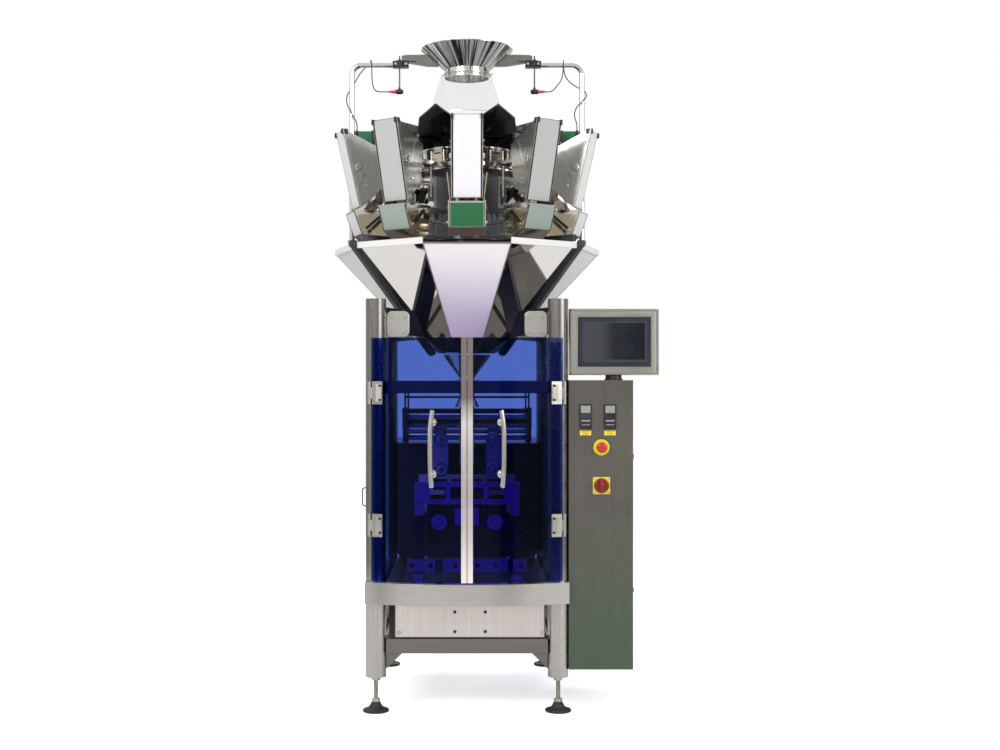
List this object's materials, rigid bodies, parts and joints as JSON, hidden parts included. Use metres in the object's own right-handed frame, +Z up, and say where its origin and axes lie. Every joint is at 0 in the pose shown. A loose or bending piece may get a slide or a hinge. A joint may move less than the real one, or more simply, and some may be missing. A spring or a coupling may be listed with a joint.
{
  "type": "vertical form fill sealer",
  "caption": "Bagging machine: weigher with hopper heads and gates above a funnel, forming tube, pull belts, sealing jaws, clear double doors and a side control cabinet.",
  "frame": {"origin": "on the floor, under the middle of the machine's box", "axes": "+Z up, -Y towards the front with the doors, +X towards the control cabinet"},
  "size_m": [1.2452, 1.2946, 2.575],
  "materials": {
    "brushed_steel": "brushed",
    "polished_steel": "polished",
    "satin_steel": "satin",
    "pale_cover": "satin white",
    "dark_steel": "satin black",
    "cabinet_steel": "brushed",
    "black_plastic": "matt",
    "lead_sheath": "matt",
    "belt_rubber": "matt",
    "blue_clear": "clear tinted blue",
    "clear_plastic": "clear",
    "yellow_plastic": "gloss",
    "red_plastic": "gloss",
    "screen_glass": "gloss",
    "gate_green": "satin green",
    "gate_pale": "satin pale green"
  },
  "bodies": {
    "frame": {"post_front_left": "brushed_steel", "post_front_right": "brushed_steel", "post_rear_left": "brushed_steel", "post_rear_right": "brushed_steel", "foot_front_left": "black_plastic", "foot_front_right": "black_plastic", "foot_rear_left": "black_plastic", "foot_rear_right": "black_plastic", "base_frame": "brushed_steel", "bow_rail": "brushed_steel", "upper_frame": "brushed_steel", "rear_casing": "dark_steel", "forming_tube": "polished_steel", "film_frame": "satin_steel", "jaw_guide_frame": "dark_steel", "cabinet": "cabinet_steel", "temperature_controller_1": "black_plastic", "temperature_controller_2": "black_plastic", "estop_collar": "yellow_plastic", "switch_plate": "yellow_plastic", "screen_pivot": "black_plastic", "weigher_support": "dark_steel", "discharge_funnel": "polished_steel", "weigher_core": "polished_steel", "feed_hoppers": "pale_cover", "weigh_hoppers": "polished_steel", "linear_feeders": "polished_steel", "infeed_cone": "polished_steel", "clear_skirt": "clear_plastic", "funnel_arm_left": "satin_steel", "funnel_arm_right": "satin_steel", "level_sensor_left": "black_plastic", "level_sensor_right": "black_plastic", "sensor_lead_left": "lead_sheath", "sensor_lead_right": "lead_sheath"},
    "door_left": {"door_left": "blue_clear", "door_handle_left": "polished_steel"},
    "door_right": {"door_right": "blue_clear", "door_handle_right": "polished_steel"},
    "screen_head": {"screen_housing": "satin_steel", "touch_screen": "screen_glass"},
    "estop_button": {"estop_button": "red_plastic"},
    "switch_knob": {"switch_knob": "red_plastic"},
    "pull_belt_left": {"pull_belt_left": "belt_rubber"},
    "pull_belt_right": {"pull_belt_right": "belt_rubber"},
    "vertical_sealer": {"vertical_sealer": "satin_steel"},
    "jaw_front": {"jaw_front": "satin_steel"},
    "jaw_rear": {"jaw_rear": "satin_steel"},
    "film_shaft": {"film_shaft": "satin_steel"},
    "dispersion_cone": {"dispersion_cone": "polished_steel"},
    "weigh_gate_1": {"weigh_gate_1": "gate_green"},
    "weigh_gate_2": {"weigh_gate_2": "gate_pale"},
    "weigh_gate_3": {"weigh_gate_3": "gate_pale"},
    "weigh_gate_4": {"weigh_gate_4": "gate_pale"},
    "weigh_gate_5": {"weigh_gate_5": "gate_pale"},
    "weigh_gate_6": {"weigh_gate_6": "gate_green"},
    "weigh_gate_7": {"weigh_gate_7": "gate_pale"},
    "weigh_gate_8": {"weigh_gate_8": "gate_pale"},
    "weigh_gate_9": {"weigh_gate_9": "gate_pale"},
    "weigh_gate_10": {"weigh_gate_10": "gate_pale"}
  },
  "joints": [
    {"name": "door_left_hinge", "type": "hinge", "parent": "frame", "child": "door_left", "pos_m": [-0.45738, -0.53517, 0.9], "axis": [0, 0, -1], "range_deg": [0, 90]},
    {"name": "door_right_hinge", "type": "hinge", "parent": "frame", "child": "door_right", "pos_m": [0.26362, -0.53517, 0.9], "axis": [0, 0, 1], "range_deg": [0, 90]},
    {"name": "screen_swivel", "type": "hinge", "parent": "frame", "child": "screen_head", "pos_m": [0.45512, -0.42867, 1.3], "axis": [0, 0, 1], "range_deg": [-45, 45]},
    {"name": "estop_press", "type": "slide", "parent": "frame", "child": "estop_button", "axis": [0, 1, 0], "range_m": [0, 0.006], "stiffness_N_per_m": 800},
    {"name": "switch_turn", "type": "hinge", "parent": "frame", "child": "switch_knob", "pos_m": [0.40292, -0.49867, 0.844], "axis": [0, -1, 0], "range_deg": [-90, 0]},
    {"name": "pull_belt_left_slide", "type": "slide", "parent": "frame", "child": "pull_belt_left", "axis": [1, 0, 0], "range_m": [0, 0.044]},
    {"name": "pull_belt_right_slide", "type": "slide", "parent": "frame", "child": "pull_belt_right", "axis": [-1, 0, 0], "range_m": [0, 0.044]},
    {"name": "vertical_sealer_slide", "type": "slide", "parent": "frame", "child": "vertical_sealer", "axis": [0, 1, 0], "range_m": [0, 0.024]},
    {"name": "jaw_front_slide", "type": "slide", "parent": "frame", "child": "jaw_front", "axis": [0, 1, 0], "range_m": [0, 0.053]},
    {"name": "jaw_rear_slide", "type": "slide", "parent": "frame", "child": "jaw_rear", "axis": [0, -1, 0], "range_m": [0, 0.053]},
    {"name": "film_shaft_spin", "type": "hinge", "parent": "frame", "child": "film_shaft", "pos_m": [-0.09688, 0.61133, 0.63], "axis": [1, 0, 0], "continuous": true},
    {"name": "dispersion_cone_shake", "type": "slide", "parent": "frame", "child": "dispersion_cone", "axis": [0, 0, 1], "range_m": [-0.0005, 0.0005], "stiffness_N_per_m": 60000},
    {"name": "weigh_gate_1_hinge", "type": "hinge", "parent": "frame", "child": "weigh_gate_1", "pos_m": [-0.09688, -0.50804, 1.897], "axis": [-1, 0, 0], "range_deg": [0, 33], "stiffness_Nm_per_rad": 0.6, "springref_deg": -20.05},
    {"name": "weigh_gate_2_hinge", "type": "hinge", "parent": "frame", "child": "weigh_gate_2", "pos_m": [0.18488, -0.41649, 1.897], "axis": [-0.809, -0.5878, 0], "range_deg": [0, 33], "stiffness_Nm_per_rad": 0.6, "springref_deg": -20.05},
    {"name": "weigh_gate_3_hinge", "type": "hinge", "parent": "frame", "child": "weigh_gate_3", "pos_m": [0.35903, -0.1768, 1.897], "axis": [-0.309, -0.9511, 0], "range_deg": [0, 33], "stiffness_Nm_per_rad": 0.6, "springref_deg": -20.05},
    {"name": "weigh_gate_4_hinge", "type": "hinge", "parent": "frame", "child": "weigh_gate_4", "pos_m": [0.35903, 0.11947, 1.897], "axis": [0.309, -0.9511, 0], "range_deg": [0, 33], "stiffness_Nm_per_rad": 0.6, "springref_deg": -20.05},
    {"name": "weigh_gate_5_hinge", "type": "hinge", "parent": "frame", "child": "weigh_gate_5", "pos_m": [0.18488, 0.35915, 1.897], "axis": [0.809, -0.5878, 0], "range_deg": [0, 33], "stiffness_Nm_per_rad": 0.6, "springref_deg": -20.05},
    {"name": "weigh_gate_6_hinge", "type": "hinge", "parent": "frame", "child": "weigh_gate_6", "pos_m": [-0.09688, 0.45071, 1.897], "axis": [1, 0, 0], "range_deg": [0, 33], "stiffness_Nm_per_rad": 0.6, "springref_deg": -20.05},
    {"name": "weigh_gate_7_hinge", "type": "hinge", "parent": "frame", "child": "weigh_gate_7", "pos_m": [-0.37865, 0.35915, 1.897], "axis": [0.809, 0.5878, 0], "range_deg": [0, 33], "stiffness_Nm_per_rad": 0.6, "springref_deg": -20.05},
    {"name": "weigh_gate_8_hinge", "type": "hinge", "parent": "frame", "child": "weigh_gate_8", "pos_m": [-0.5528, 0.11947, 1.897], "axis": [0.309, 0.9511, 0], "range_deg": [0, 33], "stiffness_Nm_per_rad": 0.6, "springref_deg": -20.05},
    {"name": "weigh_gate_9_hinge", "type": "hinge", "parent": "frame", "child": "weigh_gate_9", "pos_m": [-0.5528, -0.1768, 1.897], "axis": [-0.309, 0.9511, 0], "range_deg": [0, 33], "stiffness_Nm_per_rad": 0.6, "springref_deg": -20.05},
    {"name": "weigh_gate_10_hinge", "type": "hinge", "parent": "frame", "child": "weigh_gate_10", "pos_m": [-0.37865, -0.41649, 1.897], "axis": [-0.809, 0.5878, 0], "range_deg": [0, 33], "stiffness_Nm_per_rad": 0.6, "springref_deg": -20.05}
  ],
  "couplings": [
    {"joint": "pull_belt_left_slide", "follows": "pull_belt_right_slide", "ratio": 1},
    {"joint": "jaw_rear_slide", "follows": "jaw_front_slide", "ratio": 1}
  ]
}
